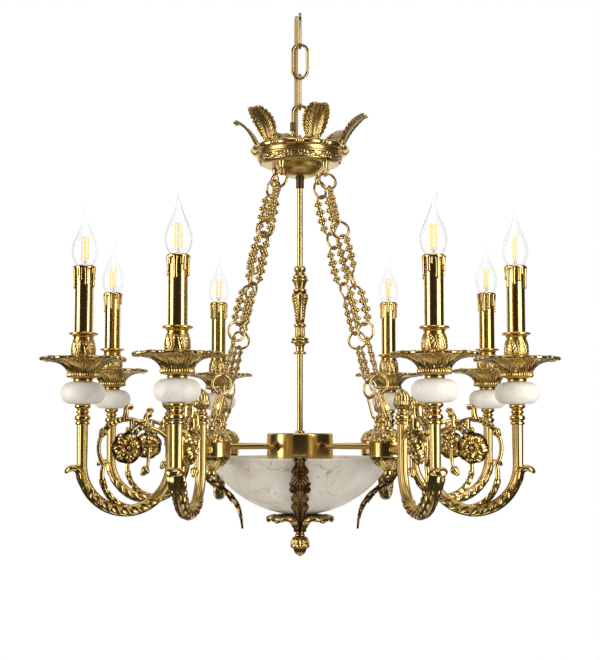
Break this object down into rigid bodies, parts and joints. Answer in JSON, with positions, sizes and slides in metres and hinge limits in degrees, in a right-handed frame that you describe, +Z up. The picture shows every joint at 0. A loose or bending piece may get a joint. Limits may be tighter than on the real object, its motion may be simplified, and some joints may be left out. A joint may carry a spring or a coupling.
{
  "type": "chandelier",
  "caption": "Antique-brass chandelier with alabaster bowl, candle-style lamps on scrolled arms and a leafy crown, hung on a link chain.",
  "frame": {"origin": "inner top of the upper chain link, where a ceiling hook carries it", "axes": "+Z up along the chain and stem, -Y towards the front of the picture, +X to its right"},
  "size_m": [0.7113, 0.7116, 0.8118],
  "materials": {
    "antique_brass": "cast, darkened in the recesses",
    "satin_brass": "satin",
    "polished_brass": "polished",
    "dark_bronze": "dark patina",
    "alabaster": "honed veined stone",
    "moulded_plastic": "matt",
    "cable_sheath": "gold-tinted sheath",
    "bulb_glass": "clear"
  },
  "bodies": {
    "chain_link_top": {"chain_link_top": "antique_brass"},
    "chain_link_middle": {"chain_link_middle": "antique_brass"},
    "chain_link_bottom": {"chain_link_bottom": "antique_brass"},
    "quick_link": {"hanging_quick_link": "dark_bronze"},
    "quick_link_sleeve": {"hanging_quick_link_sleeve": "dark_bronze"},
    "fixture": {"supply_cable": "cable_sheath", "cable_bush": "moulded_plastic", "crown_loop": "dark_bronze", "crown_dish": "satin_brass", "crown_rim": "satin_brass", "crown_boss": "satin_brass", "crown_leaves": "antique_brass", "crown_chain_posts": "antique_brass", "stem_coupler": "dark_bronze", "stem_upper_tube": "satin_brass", "stem_baluster": "satin_brass", "stem_lower_tube": "satin_brass", "hub_drum": "satin_brass", "hub_floor": "satin_brass", "terminal_block": "moulded_plastic", "hub_rods": "satin_brass", "hub_rod_nuts": "dark_bronze", "tie_rod": "satin_brass", "stone_bowl": "alabaster", "bowl_straps": "antique_brass", "bowl_cup": "antique_brass", "bowl_finial": "antique_brass", "spindle_collars": "satin_brass", "spindle_caps": "antique_brass", "spindle_cups": "antique_brass", "arm_pair_1": "antique_brass", "arm_pair_2": "antique_brass", "arm_pair_3": "antique_brass", "arm_pair_4": "antique_brass", "arm_scrolls": "antique_brass", "leg_collars": "satin_brass", "acorns": "antique_brass", "candle_collars": "satin_brass", "stone_beads": "alabaster", "drip_pans": "antique_brass", "candle_cups": "antique_brass", "candle_sleeves": "polished_brass", "lamp_holders": "moulded_plastic", "candle_nipples": "satin_brass", "chain_rings": "antique_brass", "chain_flower_links": "antique_brass", "chain_quick_links": "antique_brass"},
    "chain_sleeve_1": {"chain_sleeve_1": "antique_brass"},
    "chain_sleeve_2": {"chain_sleeve_2": "antique_brass"},
    "chain_sleeve_3": {"chain_sleeve_3": "antique_brass"},
    "chain_sleeve_4": {"chain_sleeve_4": "antique_brass"},
    "bulb_1": {"bulb_1": "bulb_glass"},
    "bulb_2": {"bulb_2": "bulb_glass"},
    "bulb_3": {"bulb_3": "bulb_glass"},
    "bulb_4": {"bulb_4": "bulb_glass"},
    "bulb_5": {"bulb_5": "bulb_glass"},
    "bulb_6": {"bulb_6": "bulb_glass"},
    "bulb_7": {"bulb_7": "bulb_glass"},
    "bulb_8": {"bulb_8": "bulb_glass"}
  },
  "joints": [
    {"name": "middle_link_swing", "type": "hinge", "parent": "chain_link_top", "child": "chain_link_middle", "pos_m": [0, 0, -0.0494], "axis": [0, 1, 0], "range_deg": [-14, 14], "deforming": ["supply_cable"]},
    {"name": "bottom_link_swing", "type": "hinge", "parent": "chain_link_middle", "child": "chain_link_bottom", "pos_m": [0, 0, -0.09625], "axis": [1, 0, 0], "range_deg": [-14, 14], "deforming": ["supply_cable"]},
    {"name": "quick_link_swing", "type": "hinge", "parent": "chain_link_bottom", "child": "quick_link", "pos_m": [0, 0, -0.1431], "axis": [0, 1, 0], "range_deg": [-14, 14], "deforming": ["supply_cable"]},
    {"name": "fixture_swing", "type": "hinge", "parent": "quick_link", "child": "fixture", "pos_m": [0, 0, -0.18995], "axis": [1, 0, 0], "range_deg": [-14, 14], "deforming": ["supply_cable"]},
    {"name": "quick_link_sleeve_travel", "type": "slide", "parent": "quick_link", "child": "quick_link_sleeve", "axis": [0, 0, 1], "range_m": [0, 0.01]},
    {"name": "chain_sleeve_1_travel", "type": "slide", "parent": "fixture", "child": "chain_sleeve_1", "axis": [-0.2179, 0.2444, 0.9449], "range_m": [0, 0.0068]},
    {"name": "chain_sleeve_2_travel", "type": "slide", "parent": "fixture", "child": "chain_sleeve_2", "axis": [-0.2444, -0.2179, 0.9449], "range_m": [0, 0.0068]},
    {"name": "chain_sleeve_3_travel", "type": "slide", "parent": "fixture", "child": "chain_sleeve_3", "axis": [0.2179, -0.2444, 0.9449], "range_m": [0, 0.0068]},
    {"name": "chain_sleeve_4_travel", "type": "slide", "parent": "fixture", "child": "chain_sleeve_4", "axis": [0.2444, 0.2179, 0.9449], "range_m": [0, 0.0068]},
    {"name": "bulb_1_screw", "type": "hinge", "parent": "fixture", "child": "bulb_1", "pos_m": [0.1675, -0.29478, -0.4045], "axis": [0, 0, 1], "continuous": true},
    {"name": "bulb_2_screw", "type": "hinge", "parent": "fixture", "child": "bulb_2", "pos_m": [0.28781, -0.18834, -0.4045], "axis": [0, 0, 1], "continuous": true},
    {"name": "bulb_3_screw", "type": "hinge", "parent": "fixture", "child": "bulb_3", "pos_m": [0.2987, 0.14907, -0.4045], "axis": [0, 0, 1], "continuous": true},
    {"name": "bulb_4_screw", "type": "hinge", "parent": "fixture", "child": "bulb_4", "pos_m": [0.15217, 0.29818, -0.4045], "axis": [0, 0, 1], "continuous": true},
    {"name": "bulb_5_screw", "type": "hinge", "parent": "fixture", "child": "bulb_5", "pos_m": [-0.13973, 0.29993, -0.4045], "axis": [0, 0, 1], "continuous": true},
    {"name": "bulb_6_screw", "type": "hinge", "parent": "fixture", "child": "bulb_6", "pos_m": [-0.29916, 0.14597, -0.4045], "axis": [0, 0, 1], "continuous": true},
    {"name": "bulb_7_screw", "type": "hinge", "parent": "fixture", "child": "bulb_7", "pos_m": [-0.28781, -0.18834, -0.4045], "axis": [0, 0, 1], "continuous": true},
    {"name": "bulb_8_screw", "type": "hinge", "parent": "fixture", "child": "bulb_8", "pos_m": [-0.15217, -0.29818, -0.4045], "axis": [0, 0, 1], "continuous": true}
  ]
}
